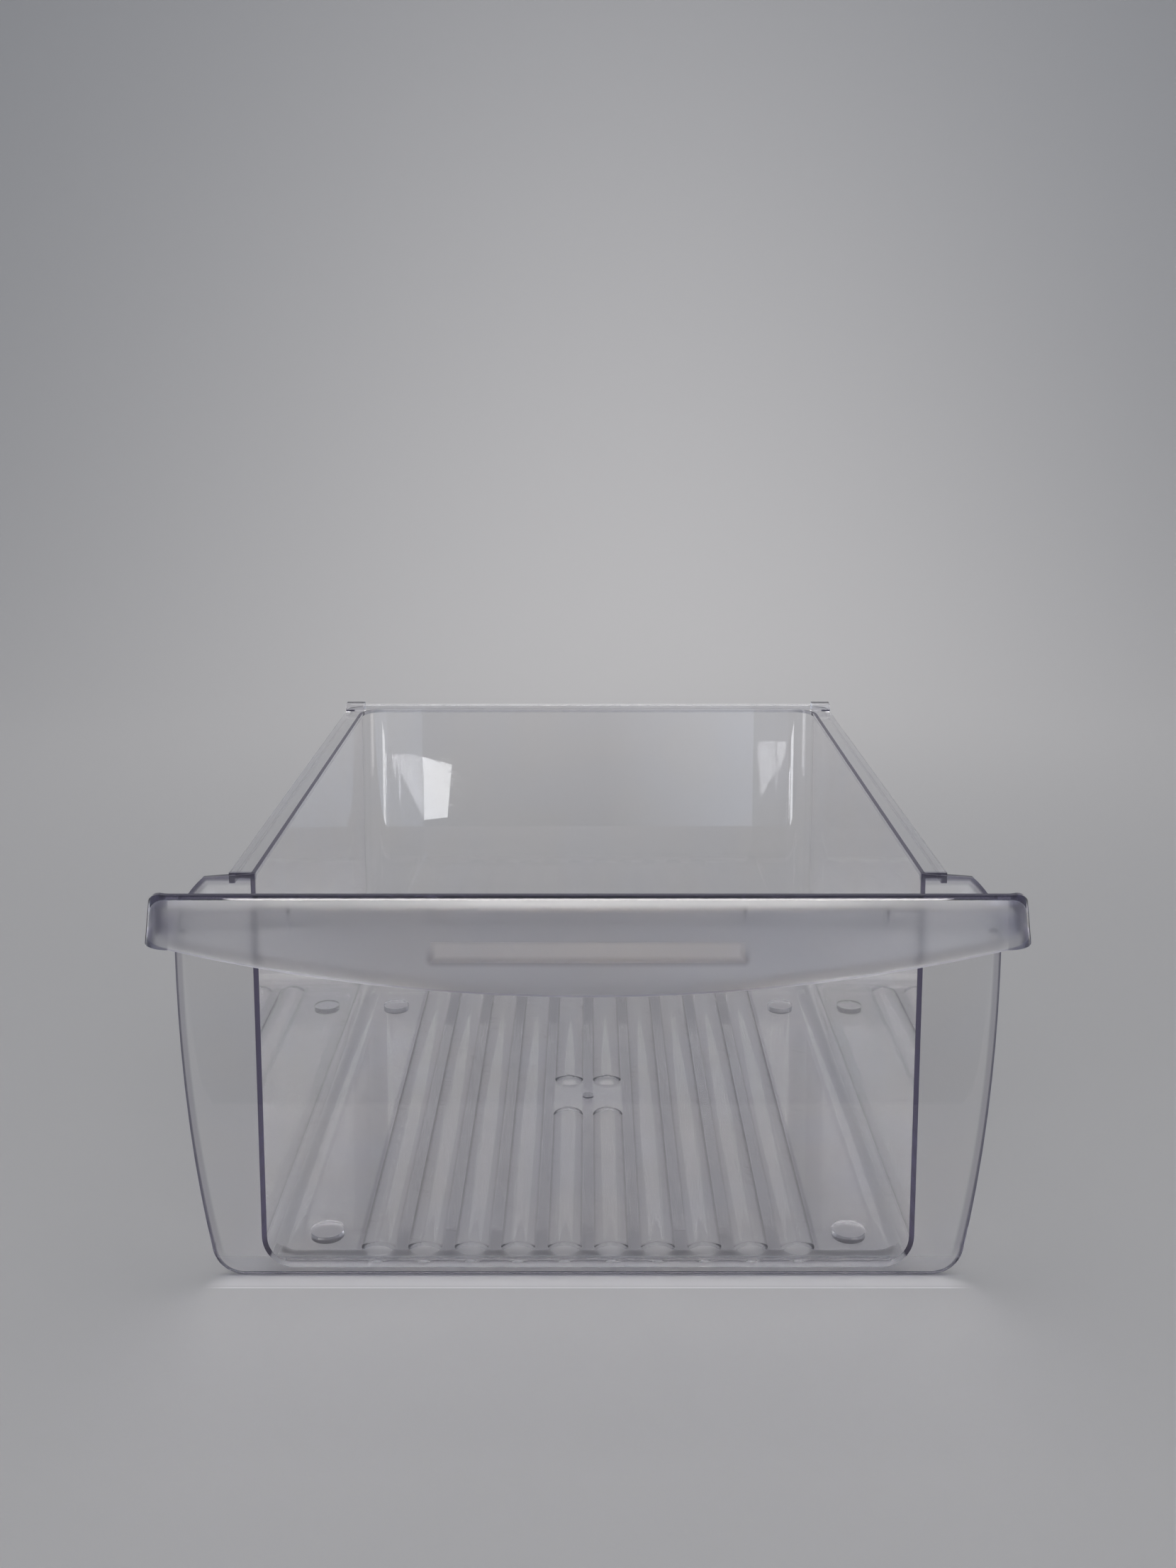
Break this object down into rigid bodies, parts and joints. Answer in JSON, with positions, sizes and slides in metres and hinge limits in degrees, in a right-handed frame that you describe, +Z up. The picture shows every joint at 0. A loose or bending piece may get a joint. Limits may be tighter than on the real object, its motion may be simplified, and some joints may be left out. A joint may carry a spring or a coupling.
{
  "type": "fridge crisper drawer",
  "caption": "Clear moulded crisper drawer with a wide bowed front, a rolled pull with a frosted skirt, flat side rails, rear stops and a fluted floor.",
  "frame": {"origin": "under the middle of the drawer's length and width, on the plane that the feet stand on", "axes": "+X to the right as seen from the front, +Y from the pull towards the rear rim, +Z up"},
  "size_m": [0.374, 0.384, 0.1881],
  "materials": {
    "clear_plastic": "clear with a cool tint, polished walls, fine frosted face on the pull"
  },
  "bodies": {
    "root": {"crisper_pan": "clear_plastic"}
  },
  "joints": []
}
